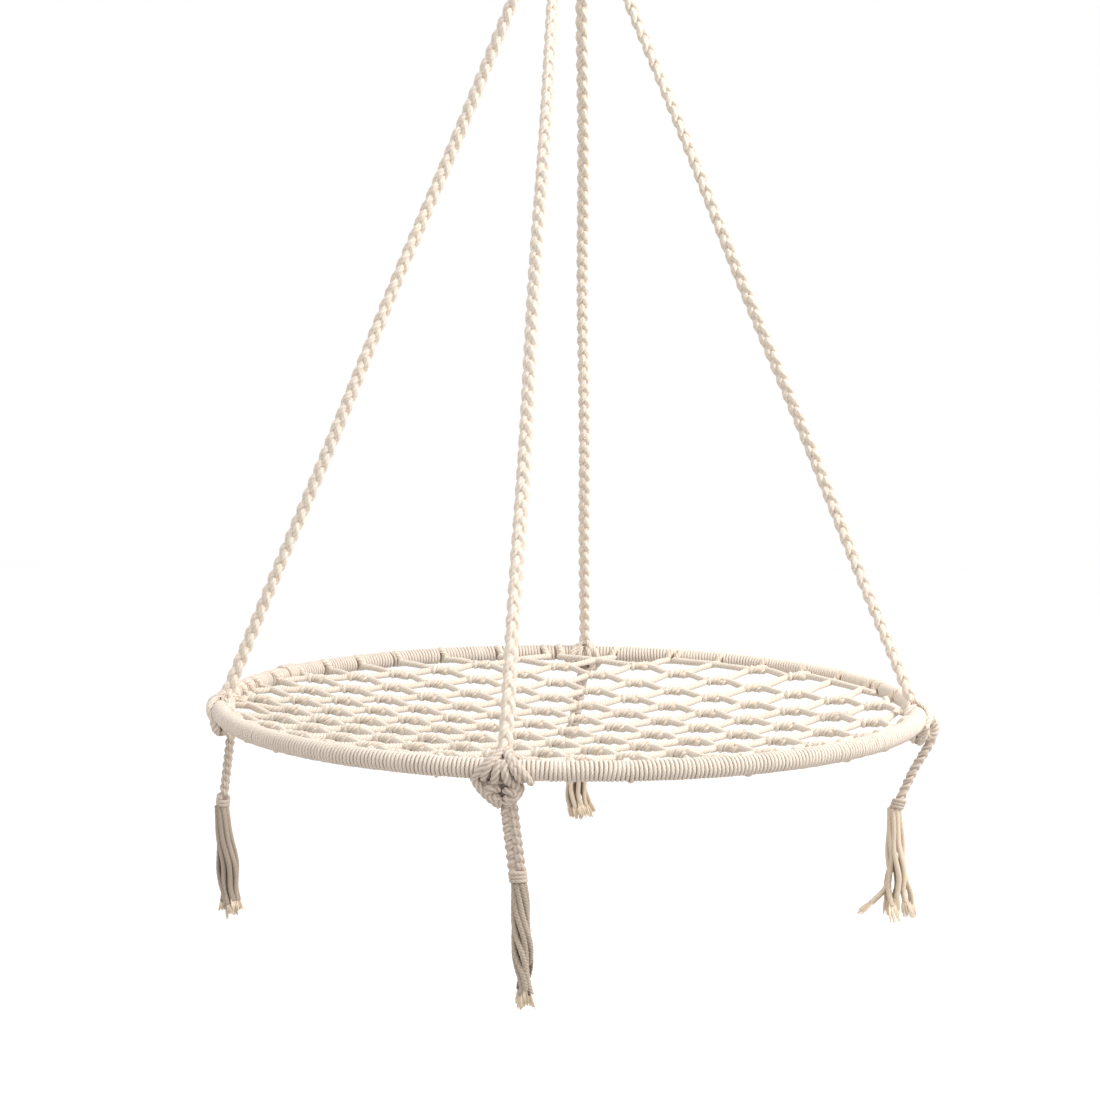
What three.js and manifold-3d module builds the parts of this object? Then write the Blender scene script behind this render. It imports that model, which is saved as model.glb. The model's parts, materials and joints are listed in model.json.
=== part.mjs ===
// Macrame saucer swing: a cord-wrapped steel hoop with a knotted net, hung by four
// braids from a steel ring and a carabiner. Millimetres, +Z up. The origin is the
// carabiner's inner top, where the hook that holds the swing bears.

import * as THREE from "three";
import { mergeVertices } from "three/addons/utils/BufferGeometryUtils.js";
import Module from "manifold-3d";

const wasm = await Module();
wasm.setup();

// ---- driving dimensions ----

const clearance = 0.3;

// carabiner: an oval steel link in the YZ plane with a sprung gate on its +Y side
const linkWire = 4;
const linkHalfWidth = 16;
const linkStraight = 44;
const gateRadius = 3.4;
const gateGap = 1;

// steel ring in the XZ plane, hanging on the carabiner's lower bend
const ringWire = 4;
const ringRadius = 42;

// rope bights: two braids laid over the ring, whose legs the gathering wrap binds
const bightRadius = 13;
const bightCord = 7;
const bightSpacing = 7.6;
const gatherTop = -183;
const gatherHeight = 50;
const gatherRadius = 30;
const legSpreadX = 11;
const legSpreadY = 10;

// hoop: a bent steel tube, wrapped in cord between its four knots
const hoopRadius = 487;
const hoopCentre = new THREE.Vector3(7, -8, -1370);
const tubeRadius = 9.5;
const tubeBore = 8;
const seamAngle = 135;
const seamGap = 1.2;
const spigotRadius = 6.9;
const spigotAngle = 7;
const wrapOuter = 13;
const wrapInner = 10.8;
const wrapEndAngle = 4.2;

// hoop knots: a barrel of cord round the hoop, with a neck above and two lobes below
const knotHalfLength = 34.2;
const knotRadius = 18.5;
const knotBore = 11.8;
const knotNeckTop = 27;
const lobeRadius = 10.5;
const lobeDrop = 24;
const lobeSpread = 10;

// suspension braids
const braidRadius = 8;
const braidTopZ = -237;
const braidSpreadX = 14;
const braidSpreadY = 11;

// tails: a short braid, a whipping and a fringe below each knot
const tailTop = 43;
const tailRadius = 7;
const tailLength = 82;
const whippingLength = 12;
const whippingRadius = 10;
const fringeLength = 152;
const fringeNeck = 7;

// net: a diamond lattice of knotted cord, a little slack in the middle
const netCord = 6.4;
const netThickness = 6.4;
const netSag = 25;
const netKnotLimit = 452;
const netReach = 90;

// The four hangings, each at its angle round the hoop in degrees from +X. Shifts and
// leans are in millimetres along X and Y; side says which bight its braid comes from.
const hangings = [
  { name: "front", angle: -99, side: [-1, -1], shift: [6, 0], braidLean: [11, 0], fringeLean: [9, 0], fringeEnd: 10 },
  { name: "right", angle: -9, side: [1, -1], shift: [8, 0], braidLean: [-32, 0], fringeLean: [-3, 0], fringeEnd: 24 },
  { name: "back", angle: 87, side: [1, 1], shift: [-4, 0], braidLean: [-14, 0], fringeLean: [4, 0], fringeEnd: 21 },
  { name: "left", angle: 189, side: [-1, 1], shift: [13, 0], braidLean: [-10, 0], fringeLean: [17, 0], fringeEnd: 15 },
];

// The lattice as seen from above. A knot stands at (row, step): a step moves along a
// row, a row moves across, and the bow terms curve the rows as the hand-tied net does.
const netMiddle = new THREE.Vector2(-47, 67);
const alongRow = new THREE.Vector2(63.5, 43.4);
const acrossRows = new THREE.Vector2(-53.4, 60.2);
const bowAlong = new THREE.Vector2(0.7, 2.35);
const bowAcross = new THREE.Vector2(-0.9, -0.8);
const twist = -0.63;

// ---- materials ----

const finish = (color, roughness, metalness) =>
  new THREE.MeshStandardMaterial({ color, roughness, metalness });
const cottonWrap = finish(0xe6dccb, 0.9, 0);
const cottonBraid = finish(0xddd0bd, 0.92, 0);
const cottonNet = finish(0xeee0cc, 0.92, 0);
const cottonFringe = finish(0xd6c8b4, 0.95, 0);
const zincSteel = finish(0xb9bcbf, 0.35, 1);
const bareTube = finish(0x8d9094, 0.5, 1);

// ---- helpers ----

const radians = THREE.MathUtils.degToRad;
const up = new THREE.Vector3(0, 0, 1);

const swing = new THREE.Group();

function add(name, geometry, material, parent = swing) {
  const mesh = new THREE.Mesh(geometry, material);
  mesh.name = name;
  parent.add(mesh);
  return mesh;
}

function circle(radius, sides, hole = 0) {
  const ringOf = (r) =>
    Array.from({ length: sides }, (_, i) => {
      const a = (2 * Math.PI * i) / sides;
      return new THREE.Vector2(r * Math.cos(a), r * Math.sin(a));
    });
  const shape = new THREE.Shape(ringOf(radius));
  if (hole > 0) {
    shape.holes.push(new THREE.Path(ringOf(hole)));
  }
  return shape;
}

function sweep(shape, path, steps) {
  return new THREE.ExtrudeGeometry(shape, { steps, extrudePath: path, bevelEnabled: false });
}

class HoopArc extends THREE.Curve {
  constructor(from, to) {
    super();
    this.from = radians(from);
    this.to = radians(to);
  }

  getPoint(t, target = new THREE.Vector3()) {
    const a = this.from + (this.to - this.from) * t;
    return target.set(hoopRadius * Math.cos(a), hoopRadius * Math.sin(a), 0);
  }
}

// a profile of [radius, height] points turned about Z
function turned(profile, sides) {
  const points = profile.map(([r, h]) => new THREE.Vector2(r, h));
  return new THREE.LatheGeometry(points, sides).rotateX(Math.PI / 2);
}

function domeProfile(radius, centre, rings) {
  return Array.from({ length: rings }, (_, i) => {
    const a = (Math.PI / 2) * (i / rings);
    return [radius * Math.sin(a), centre + radius * Math.cos(a)];
  });
}

function toSolid(geometry) {
  const bare = geometry.clone();
  bare.deleteAttribute("normal");
  bare.deleteAttribute("uv");
  const merged = mergeVertices(bare, 1e-4);
  return new wasm.Manifold(
    new wasm.Mesh({
      numProp: 3,
      vertProperties: merged.attributes.position.array,
      triVerts: new Uint32Array(merged.index.array),
    }),
  );
}

function toGeometry(solid) {
  const mesh = solid.getMesh();
  const geometry = new THREE.BufferGeometry();
  geometry.setAttribute("position", new THREE.BufferAttribute(mesh.vertProperties, 3));
  geometry.setIndex(new THREE.BufferAttribute(mesh.triVerts, 1));
  return geometry;
}

const joined = (solids) => solids.reduce((whole, piece) => whole.add(piece));

// stands a piece made along +Z on a point, pointing along a direction
function stand(mesh, point, direction) {
  mesh.position.copy(point);
  mesh.quaternion.setFromUnitVectors(up, direction.clone().normalize());
}

// ---- carabiner ----

const linkTopZ = linkWire - linkHalfWidth;
const linkBottomZ = linkTopZ - linkStraight;

function carabiner() {
  const path = new THREE.CurvePath();
  const at = (y, z) => new THREE.Vector3(0, y, z);
  const bend = (centreZ, from, to) => {
    const points = Array.from({ length: 9 }, (_, i) => {
      const a = radians(from + ((to - from) * i) / 8);
      return at(linkHalfWidth * Math.cos(a), centreZ + linkHalfWidth * Math.sin(a));
    });
    for (let i = 0; i < 8; i += 1) {
      path.add(new THREE.LineCurve3(points[i], points[i + 1]));
    }
  };
  const gateFoot = linkBottomZ + 6;
  path.add(new THREE.LineCurve3(at(linkHalfWidth, gateFoot), at(linkHalfWidth, linkBottomZ)));
  bend(linkBottomZ, 0, -180);
  path.add(new THREE.LineCurve3(at(-linkHalfWidth, linkBottomZ), at(-linkHalfWidth, linkTopZ)));
  bend(linkTopZ, 180, 0);
  path.add(new THREE.LineCurve3(at(linkHalfWidth, linkTopZ), at(linkHalfWidth, linkTopZ - 3)));
  add("carabiner_body", sweep(circle(linkWire, 8), path, 48), zincSteel);

  const gateTop = linkTopZ - 3 - gateGap - gateRadius;
  const gateLength = gateTop - gateFoot - gateGap - gateRadius;
  const gate = new THREE.CapsuleGeometry(gateRadius, gateLength, 4, 10).rotateX(Math.PI / 2);
  const mesh = add("carabiner_gate", gate, zincSteel);
  mesh.position.set(0, linkHalfWidth, gateTop - gateLength / 2);
}

// ---- ring and rope bights ----

const ringTopZ = linkBottomZ - linkHalfWidth + linkWire + ringWire + clearance;
const ringCentreZ = ringTopZ - ringRadius;

function ringAndBights() {
  const torus = new THREE.TorusGeometry(ringRadius, ringWire, 8, 36).rotateX(Math.PI / 2);
  add("hanging_ring", torus, zincSteel).position.z = ringCentreZ;

  const wireZ = ringCentreZ - Math.sqrt(ringRadius ** 2 - bightSpacing ** 2);
  const legEnd = gatherTop + clearance;
  for (const [side, name] of [[-1, "left"], [1, "right"]]) {
    const half = (y) => [
      new THREE.Vector3(side * legSpreadX, y * legSpreadY, legEnd),
      new THREE.Vector3(side * legSpreadX, y * legSpreadY, legEnd + 8),
      new THREE.Vector3(side * bightSpacing, y * bightRadius, wireZ - 6),
    ];
    const over = Array.from({ length: 7 }, (_, i) => {
      const a = Math.PI * (1 - i / 6);
      return new THREE.Vector3(
        side * bightSpacing,
        bightRadius * Math.cos(a),
        wireZ + bightRadius * Math.sin(a),
      );
    });
    const route = new THREE.CatmullRomCurve3([...half(-1), ...over, ...half(1).reverse()]);
    add(`rope_bight_${name}`, sweep(circle(bightCord, 10), route, 30), cottonBraid);
  }

  const bulge = [
    [0, -gatherHeight], [gatherRadius - 3, -gatherHeight], [gatherRadius, -gatherHeight + 4],
    [gatherRadius, -4], [gatherRadius - 3, 0], [0, 0],
  ];
  add("gathering_wrap", turned(bulge, 24), cottonWrap).position.z = gatherTop;
}

// ---- hoop ----

const seat = new THREE.Group();
seat.position.copy(hoopCentre);
swing.add(seat);

const hoopPoint = (angle) =>
  new THREE.Vector3(hoopRadius * Math.cos(radians(angle)), hoopRadius * Math.sin(radians(angle)), 0);

function hoop() {
  const halfGap = THREE.MathUtils.radToDeg(seamGap / 2 / hoopRadius);
  const round = new HoopArc(seamAngle + halfGap, seamAngle + 360 - halfGap);
  add("hoop_tube", sweep(circle(tubeRadius, 10, tubeBore), round, 60), bareTube, seat);
  const across = new HoopArc(seamAngle - spigotAngle / 2, seamAngle + spigotAngle / 2);
  add("hoop_spigot", sweep(circle(spigotRadius, 10), across, 2), bareTube, seat);

  const order = [...hangings].sort((a, b) => a.angle - b.angle);
  order.forEach((hanging, i) => {
    const next = order[(i + 1) % order.length];
    const end = next.angle > hanging.angle ? next.angle : next.angle + 360;
    const arc = new HoopArc(hanging.angle + wrapEndAngle, end - wrapEndAngle);
    const name = `hoop_wrap_${hanging.name}_${next.name}`;
    add(name, sweep(circle(wrapOuter, 10, wrapInner), arc, 16), cottonWrap, seat);
  });
}

// ---- knots, suspension braids and tails ----

const ropeTop = ({ side: [sx, sy] }) =>
  new THREE.Vector3(sx * braidSpreadX, sy * braidSpreadY, braidTopZ).sub(hoopCentre);

// built with X along the hoop and Y towards its centre
function knotGeometry(ropeDirection) {
  const barrel = turned(
    [
      [0, -knotHalfLength], [knotRadius - 3, -knotHalfLength], [knotRadius, -knotHalfLength + 7],
      [knotRadius, knotHalfLength - 7], [knotRadius - 3, knotHalfLength], [0, knotHalfLength],
    ],
    16,
  ).rotateY(Math.PI / 2);
  const neck = turned([[0, 4], [16.5, 4], [16.5, 14], [braidRadius, knotNeckTop], [0, knotNeckTop]], 12);
  neck.applyQuaternion(new THREE.Quaternion().setFromUnitVectors(up, ropeDirection));
  const lobe = (x) =>
    new THREE.SphereGeometry(lobeRadius, 10, 8).scale(1.15, 0.95, 0.9).translate(x, 0, -lobeDrop);
  const bore = new THREE.CylinderGeometry(knotBore, knotBore, 3 * knotHalfLength, 16).rotateZ(Math.PI / 2);
  const body = joined([barrel, neck, lobe(-lobeSpread), lobe(lobeSpread)].map(toSolid));
  return toGeometry(body.subtract(toSolid(bore)));
}

function hanging(spec) {
  const foot = hoopPoint(spec.angle);
  const top = ropeTop(spec);
  const rise = top.clone().sub(foot).normalize();

  const turn = new THREE.Quaternion().setFromAxisAngle(up, radians(spec.angle + 90));
  const localRise = rise.clone().applyQuaternion(turn.clone().invert());
  const knot = add(`hoop_knot_${spec.name}`, knotGeometry(localRise), cottonBraid, seat);
  knot.position.copy(foot);
  knot.quaternion.copy(turn);

  const start = foot.clone().addScaledVector(rise, knotNeckTop + clearance);
  const length = top.distanceTo(start);
  const braid = turned([[0, 0], [braidRadius, 0], [braidRadius, length], [0, length]], 12);
  stand(add(`suspension_braid_${spec.name}`, braid, cottonBraid, seat), start, rise);

  const hinge = foot.clone().add(new THREE.Vector3(...spec.shift, -tailTop));
  const fall = new THREE.Vector3(...spec.braidLean, -tailLength).normalize();
  const tail = turned(
    [...domeProfile(tailRadius, 0, 3), [tailRadius, 0], [tailRadius, -tailLength], [0, -tailLength]].reverse(),
    12,
  );
  stand(add(`tail_braid_${spec.name}`, tail, cottonBraid, seat), hinge, fall.clone().negate());

  const collarTop = tailLength + clearance;
  const collarEnd = collarTop + whippingLength;
  const collar = turned(
    [
      [0, -collarEnd], [whippingRadius - 2, -collarEnd], [whippingRadius, -collarEnd + 2],
      [whippingRadius, -collarTop - 2], [whippingRadius - 2, -collarTop], [0, -collarTop],
    ],
    12,
  );
  stand(add(`tail_whipping_${spec.name}`, collar, cottonWrap, seat), hinge, fall.clone().negate());

  const fringeHinge = hinge.clone().addScaledVector(fall, collarEnd + fringeNeck + clearance);
  const drop = new THREE.Vector3(...spec.fringeLean, -fringeLength).normalize();
  const strands = turned(
    [
      ...domeProfile(fringeNeck, 0, 3), [fringeNeck, 0],
      [spec.fringeEnd, -fringeLength * 0.7], [spec.fringeEnd, -fringeLength], [0, -fringeLength],
    ].reverse(),
    12,
  );
  stand(add(`fringe_${spec.name}`, strands, cottonFringe, seat), fringeHinge, drop.clone().negate());
}

// ---- net ----

function netPoint(row, step) {
  const r = row - 5;
  const s = step + 2;
  return netMiddle
    .clone()
    .addScaledVector(alongRow, s)
    .addScaledVector(bowAlong, s * s)
    .addScaledVector(acrossRows, r)
    .addScaledVector(bowAcross, r * r)
    .add(new THREE.Vector2(twist * r * s, 0));
}

function flatBar(from, to, width) {
  const along = to.clone().sub(from);
  const bar = new THREE.BoxGeometry(along.length(), width, netThickness);
  bar.rotateZ(Math.atan2(along.y, along.x));
  bar.translate((from.x + to.x) / 2, (from.y + to.y) / 2, 0);
  return toSolid(bar);
}

function net() {
  const inner = hoopRadius - wrapOuter - clearance;
  const isKnot = (p) => p.length() < netKnotLimit;
  const pieces = [];
  for (let row = -3; row <= 12; row += 1) {
    for (let step = -12; step <= 6; step += 1) {
      const here = netPoint(row, step);
      for (const next of [netPoint(row, step + 1), netPoint(row + 1, step)]) {
        if (isKnot(here) || isKnot(next)) {
          const onward = next.clone().sub(here).setLength(netReach);
          const from = isKnot(here) ? here : next.clone().sub(onward);
          const to = isKnot(next) ? next : here.clone().add(onward);
          pieces.push(flatBar(from, to, netCord));
        }
      }
    }
  }
  const disc = new THREE.CylinderGeometry(inner, inner, 2 * netThickness, 96).rotateX(Math.PI / 2);
  const notches = hangings.map(({ angle }) => {
    const notch = new THREE.BoxGeometry(
      2 * (knotRadius + clearance),
      2 * (knotHalfLength + clearance),
      4 * netThickness,
    );
    const { x, y } = hoopPoint(angle);
    return toSolid(notch.rotateZ(radians(angle)).translate(x, y, 0));
  });
  const trimmed = joined(pieces).intersect(toSolid(disc)).subtract(joined(notches));
  const flat = toGeometry(trimmed);
  const place = flat.attributes.position;
  for (let i = 0; i < place.count; i += 1) {
    const reach = Math.hypot(place.getX(i), place.getY(i)) / hoopRadius;
    place.setZ(i, place.getZ(i) - netSag * (1 - reach ** 2));
  }
  add("net", flat, cottonNet, seat);
}

carabiner();
ringAndBights();
hoop();
hangings.forEach(hanging);
net();

export default swing;
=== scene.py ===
import json
import math
import random

import bpy
import numpy as np
from mathutils import Matrix, Vector


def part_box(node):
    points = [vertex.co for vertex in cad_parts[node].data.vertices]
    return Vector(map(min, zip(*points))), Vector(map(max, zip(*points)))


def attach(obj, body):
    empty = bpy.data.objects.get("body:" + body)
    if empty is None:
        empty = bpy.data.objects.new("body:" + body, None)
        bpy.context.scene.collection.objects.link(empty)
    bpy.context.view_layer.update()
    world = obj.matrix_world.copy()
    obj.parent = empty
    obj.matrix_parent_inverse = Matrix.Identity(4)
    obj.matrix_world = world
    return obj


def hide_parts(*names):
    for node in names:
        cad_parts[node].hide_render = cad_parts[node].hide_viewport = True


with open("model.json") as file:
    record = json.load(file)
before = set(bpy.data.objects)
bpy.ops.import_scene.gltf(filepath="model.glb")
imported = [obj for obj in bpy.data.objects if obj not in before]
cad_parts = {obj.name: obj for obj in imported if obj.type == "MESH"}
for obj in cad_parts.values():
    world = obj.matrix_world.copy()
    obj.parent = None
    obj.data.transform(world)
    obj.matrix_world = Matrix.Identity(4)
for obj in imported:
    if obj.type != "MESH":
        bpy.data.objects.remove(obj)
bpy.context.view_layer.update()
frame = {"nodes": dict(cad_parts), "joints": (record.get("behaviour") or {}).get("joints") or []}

# ---- sizes, in metres ----

UP = np.array([0.0, 0.0, 1.0])
RIGHT = np.array([1.0, 0.0, 0.0])

tube_low, tube_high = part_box("hoop_tube")
HOOP_CENTRE = np.array((tube_low + tube_high) / 2)
HOOP_RADIUS = 0.487
WRAP_RADIUS = 0.013
WRAP_PITCH = 0.0052
WRAP_CORD = (0.00262, 0.0021)
WRAP_LAY = 0.0135
WRAP_UNDER = 0.0106
KNOT_HALF = 0.0335
SLIT = 0.0032

NET_CORD = 0.0051
NET_SAG = 0.025
NET_LAY = 0.0190
NET_KNOT_LIMIT = 0.452
NET_PAIR = 0.026

BRAID_PITCH = 0.062
BRAID_SWING = (0.0045, 0.0030)
BRAID_STRAND = (0.0050, 0.0042)
BRAID_TOP = 0.237
BRAID_SPREAD = (0.014, 0.011)
TAIL_PITCH = 0.032
TAIL_SWING = {
    "front": (0.0064, 0.0026), "right": (0.0046, 0.0026),
    "back": (0.0050, 0.0024), "left": (0.0040, 0.0026),
}
TAIL_STRAND = {
    "front": (0.0054, 0.0034), "right": (0.0050, 0.0038),
    "back": (0.0050, 0.0034), "left": (0.0046, 0.0036),
}
TAIL_LENGTH = 0.082
TAIL_ABOVE = 0.006
RIGHT_TAIL_ABOVE = 0.016
RIGHT_TAIL_BOW = 0.0085
WHIPPING_RING = (0.0090, 0.0072)
WHIPPING_CORD = 0.0029
FRINGE_CORD = 0.0037
FRINGE_LENGTH = 0.152
FRINGE_ROOT = (0.0066, 0.0050)
FRINGE_COUNT = 8
FRINGE_SIDES = 12
FIBRES = 32

# How much painted shade darkens a cord's grooves against its ridges.
CREASE_SHADE = 1.7

JOINT = {j["name"]: j for j in frame["joints"]}
# How each of the four ropes, tails, fringes and knots differs from the others.
SIDE = {"front": (-1, -1), "right": (1, -1), "back": (1, 1), "left": (-1, 1)}
BRAID_LEAN = {"front": 0.011, "right": -0.032, "back": -0.014, "left": -0.010}
FRINGE_LEAN = {"front": 0.009, "right": 0.008, "back": 0.020, "left": 0.014}
FRINGE_SPREAD = {"front": 0.0062, "right": 0.020, "back": 0.017, "left": 0.013}
FRINGE_REACH = {"front": 0.97, "right": 0.98, "back": 0.87, "left": 1.0}
FRAY = {"front": 0.012, "right": 0.016, "back": 0.014, "left": 0.010}
FAN = {"front": 0.0040, "right": 0.0080, "back": 0.0075, "left": 0.0042}
FRINGE_TWIST = {"front": -2.6, "right": -0.5, "back": 0.2, "left": -0.9}
# How much light each fringe cord keeps on its flank that is painted in shade.
SHADED_FLANK_LIGHT = {"front": 0.05, "right": 0.45, "back": 0.25, "left": 0.15}
STRAY = ("right", 4)
FRINGE_FLARE = {"front": 1.6, "right": 3.0, "back": 1.2, "left": 1.6}
KNOT_SIZE = {"front": 1.0, "right": 0.85, "back": 0.80, "left": 0.80}
TIE_OFF = {("back", "left"): math.radians(152)}


def hanging_angle(name):
    """A tail swings about the hoop's own direction, so its axis tells the place round the hoop."""
    axis = JOINT[f"tail_{name}_swing"]["axis"]
    return math.atan2(-axis[0], axis[1])


ANGLE = {name: hanging_angle(name) for name in SIDE}


# ---- camera ----

def add_camera():
    """The camera stands level with the braids' lower half and looks a little down into the seat."""
    distance, elevation = 2.9138, math.radians(9.618)
    pan, tilt, roll = math.radians(-0.568), math.radians(5.380), math.radians(0.479)
    place = Vector(HOOP_CENTRE) + distance * Vector((0, -math.cos(elevation), math.sin(elevation)))
    ahead = Vector((math.cos(tilt) * math.sin(pan), math.cos(tilt) * math.cos(pan), -math.sin(tilt)))
    side = ahead.cross(Vector(UP)).normalized()
    above = side.cross(ahead)
    right = side * math.cos(roll) + above * math.sin(roll)
    top = above * math.cos(roll) - side * math.sin(roll)
    data = bpy.data.cameras.new("view")
    data.sensor_width = 36.0
    data.lens = 36.0 * 2050 / 1100
    data.clip_end = 60
    camera = bpy.data.objects.new("view", data)
    turned = Matrix((right, top, -ahead)).transposed().to_4x4()
    camera.matrix_world = Matrix.Translation(place) @ turned
    bpy.context.scene.collection.objects.link(camera)
    bpy.context.scene.camera = camera


add_camera()


# ---- cord making ----

def unit(v):
    """Each row, or the one vector, made one long."""
    v = np.asarray(v, float)
    return v / np.linalg.norm(v, axis=-1, keepdims=True)


def along(line):
    """How far each point lies along a line."""
    steps = np.linalg.norm(np.diff(line, axis=0), axis=1)
    return np.concatenate([[0.0], np.cumsum(steps)])


def spaced(line, step):
    """The same line with its points a step apart."""
    line = np.asarray(line, float)
    reach = along(line)
    count = max(2, int(round(reach[-1] / step)) + 1)
    wanted = np.linspace(0, reach[-1], count)
    return np.stack([np.interp(wanted, reach, line[:, k]) for k in range(3)], 1)


def smooth(points, step):
    """A soft line through the given points, as a cord bends."""
    points = np.asarray(points, float)
    ends = np.vstack([2 * points[0] - points[1], points, 2 * points[-1] - points[-2]])
    t = np.linspace(0, 1, 9)[:-1, None]
    parts = []
    for a, b, c, d in zip(ends[:-3], ends[1:-2], ends[2:-1], ends[3:]):
        bend = 2 * b + (c - a) * t + (2 * a - 5 * b + 4 * c - d) * t**2 + (3 * b - a - 3 * c + d) * t**3
        parts.append(bend / 2)
    return spaced(np.vstack(parts + [points[-1:]]), step)


def carried(ways):
    """A side direction carried along a line without turning round it."""
    side = np.cross(ways[0], UP if abs(ways[0][2]) < 0.9 else RIGHT)
    sides = []
    for way in ways:
        side = side - way * np.dot(side, way)
        side = side / np.linalg.norm(side)
        sides.append(side)
    return np.array(sides)


class Yarn:
    """Cords swept along lines and gathered into one mesh.
    Each has a UV map, round the cord and along it, and a painted light share: 1 where it lies open, lower
    where shade is painted into its colour."""

    def __init__(self):
        self.points, self.quads, self.tris = [], [], []
        self.quad_uvs, self.tri_uvs, self.open = [], [], []
        self.count = 0

    def sweep(self, line, radius, deep=None, facing=None, sides=8, plies=0, groove=0.0, lay=0.013,
              painted_light=1.0, turn=0.0):
        """radius is half the cord's width, and deep is half its thickness, which lies along facing.
        plies grooves run round it, one full turn in each lay, and shade is painted into them. The light
        given is 1 where the cord lies open; lower values paint shade into its colour."""
        line = np.asarray(line, float)
        n = len(line)
        ways = unit(np.gradient(line, axis=0))
        if facing is None:
            out = carried(ways)
        else:
            out = np.broadcast_to(np.asarray(facing, float), line.shape)
            out = unit(out - ways * np.sum(out * ways, 1, keepdims=True))
        wide = np.cross(ways, out)
        reach = along(line)
        corner = 2 * np.pi * np.arange(sides) / sides + turn
        half = np.broadcast_to(radius, (n,))
        thick = half if deep is None else np.broadcast_to(deep, (n,))
        ring = np.ones((n, sides))
        if plies:
            swirl = plies * (corner[None, :] - 2 * np.pi * reach[:, None] / lay)
            ring = 1 - groove * (1 - np.abs(np.cos(swirl / 2)))
        lit = np.broadcast_to(np.asarray(painted_light, float), (n, sides)) if np.ndim(painted_light) != 1 else (
            np.broadcast_to(painted_light[:, None], (n, sides)))
        # Painted shade: the grooves between plies get a lower painted light share.
        lit = lit * (1 - (1 - ring) * CREASE_SHADE)
        body = (
            line[:, None, :]
            + out[:, None, :] * (thick[:, None] * np.cos(corner)[None, :] * ring)[:, :, None]
            + wide[:, None, :] * (half[:, None] * np.sin(corner)[None, :] * ring)[:, :, None]
        )
        first = self.count
        near_tip = line[:1] - ways[:1] * half[0] * 0.4
        far_tip = line[-1:] + ways[-1:] * half[-1] * 0.4
        self.points += [body.reshape(-1, 3), near_tip, far_tip]
        self.open += [lit.reshape(-1), lit[0, :1], lit[-1, :1]]
        i, j = np.meshgrid(np.arange(n - 1), np.arange(sides), indexing="ij")
        k = (j + 1) % sides
        quad = np.stack([i * sides + j, i * sides + k, (i + 1) * sides + k, (i + 1) * sides + j], -1)
        self.quads.append(first + quad.reshape(-1, 4))
        pace = reach / (2 * np.pi * float(np.mean(half))) + random.random() * 9
        u0, u1 = j / sides, (j + 1) / sides
        v0, v1 = pace[i], pace[i + 1]
        self.quad_uvs.append(np.stack([u0, v0, u1, v0, u1, v1, u0, v1], -1).reshape(-1, 2))
        j = np.arange(sides)
        k = (j + 1) % sides
        near, far = n * sides, n * sides + 1
        last = (n - 1) * sides
        self.tris.append(first + np.stack([np.full(sides, near), k, j], -1))
        self.tris.append(first + np.stack([np.full(sides, far), last + j, last + k], -1))
        for v in (pace[0], pace[-1]):
            cap = np.stack([(j + 0.5) / sides, np.full(sides, v), j / sides, np.full(sides, v),
                            (j + 1) / sides, np.full(sides, v)], -1)
            self.tri_uvs.append(cap.reshape(-1, 2))
        self.count += n * sides + 2

    def mesh(self, name):
        points = np.vstack(self.points).astype(np.float32)
        quads, tris = np.vstack(self.quads), np.vstack(self.tris)
        loops = np.concatenate([quads.reshape(-1), tris.reshape(-1)]).astype(np.int32)
        starts = np.concatenate([np.arange(len(quads)) * 4, len(quads) * 4 + np.arange(len(tris)) * 3])
        data = bpy.data.meshes.new(name)
        data.vertices.add(len(points))
        data.vertices.foreach_set("co", points.reshape(-1))
        data.loops.add(len(loops))
        data.loops.foreach_set("vertex_index", loops)
        data.polygons.add(len(starts))
        data.polygons.foreach_set("loop_start", starts.astype(np.int32))
        data.polygons.foreach_set("use_smooth", np.ones(len(starts), bool))
        data.update(calc_edges=True)
        uvs = np.vstack(self.quad_uvs + self.tri_uvs).astype(np.float32)
        data.uv_layers.new(name="cord").data.foreach_set("uv", uvs.reshape(-1))
        # The painted light share, 1 where open; lower values mix painted shade into the cotton's colour.
        shade = data.attributes.new("open", "FLOAT", "POINT")
        shade.data.foreach_set("value", np.concatenate(self.open).astype(np.float32))
        data.validate()
        return data

    def piece(self, name, material, body, replaced=()):
        """Makes the mesh an object that rides on a body and stands for its CAD nodes."""
        made = bpy.data.objects.new(name, self.mesh(name))
        bpy.context.scene.collection.objects.link(made)
        made.data.materials.append(material)
        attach(made, body)
        if replaced:
            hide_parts(*replaced)
        return made


# ---- materials ----

class Value:
    """A number that changes over a surface; sums on it add Math nodes."""

    def __init__(self, shader, socket):
        self.shader, self.socket = shader, socket

    def _sum(self, kind, *others):
        links = [o.socket if isinstance(o, Value) else o for o in others]
        node = self.shader.node("ShaderNodeMath", {"operation": kind}, dict(enumerate(links)))
        return Value(self.shader, node.outputs[0])

    def __add__(self, other):
        return self._sum("ADD", self, other)

    def __sub__(self, other):
        return self._sum("SUBTRACT", self, other)

    def __rsub__(self, other):
        return self._sum("SUBTRACT", other, self)

    def __mul__(self, other):
        return self._sum("MULTIPLY", self, other)

    __radd__ = __add__
    __rmul__ = __mul__

    def sine(self):
        return self._sum("SINE", self)

    def cosine(self):
        return self._sum("COSINE", self)


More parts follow.
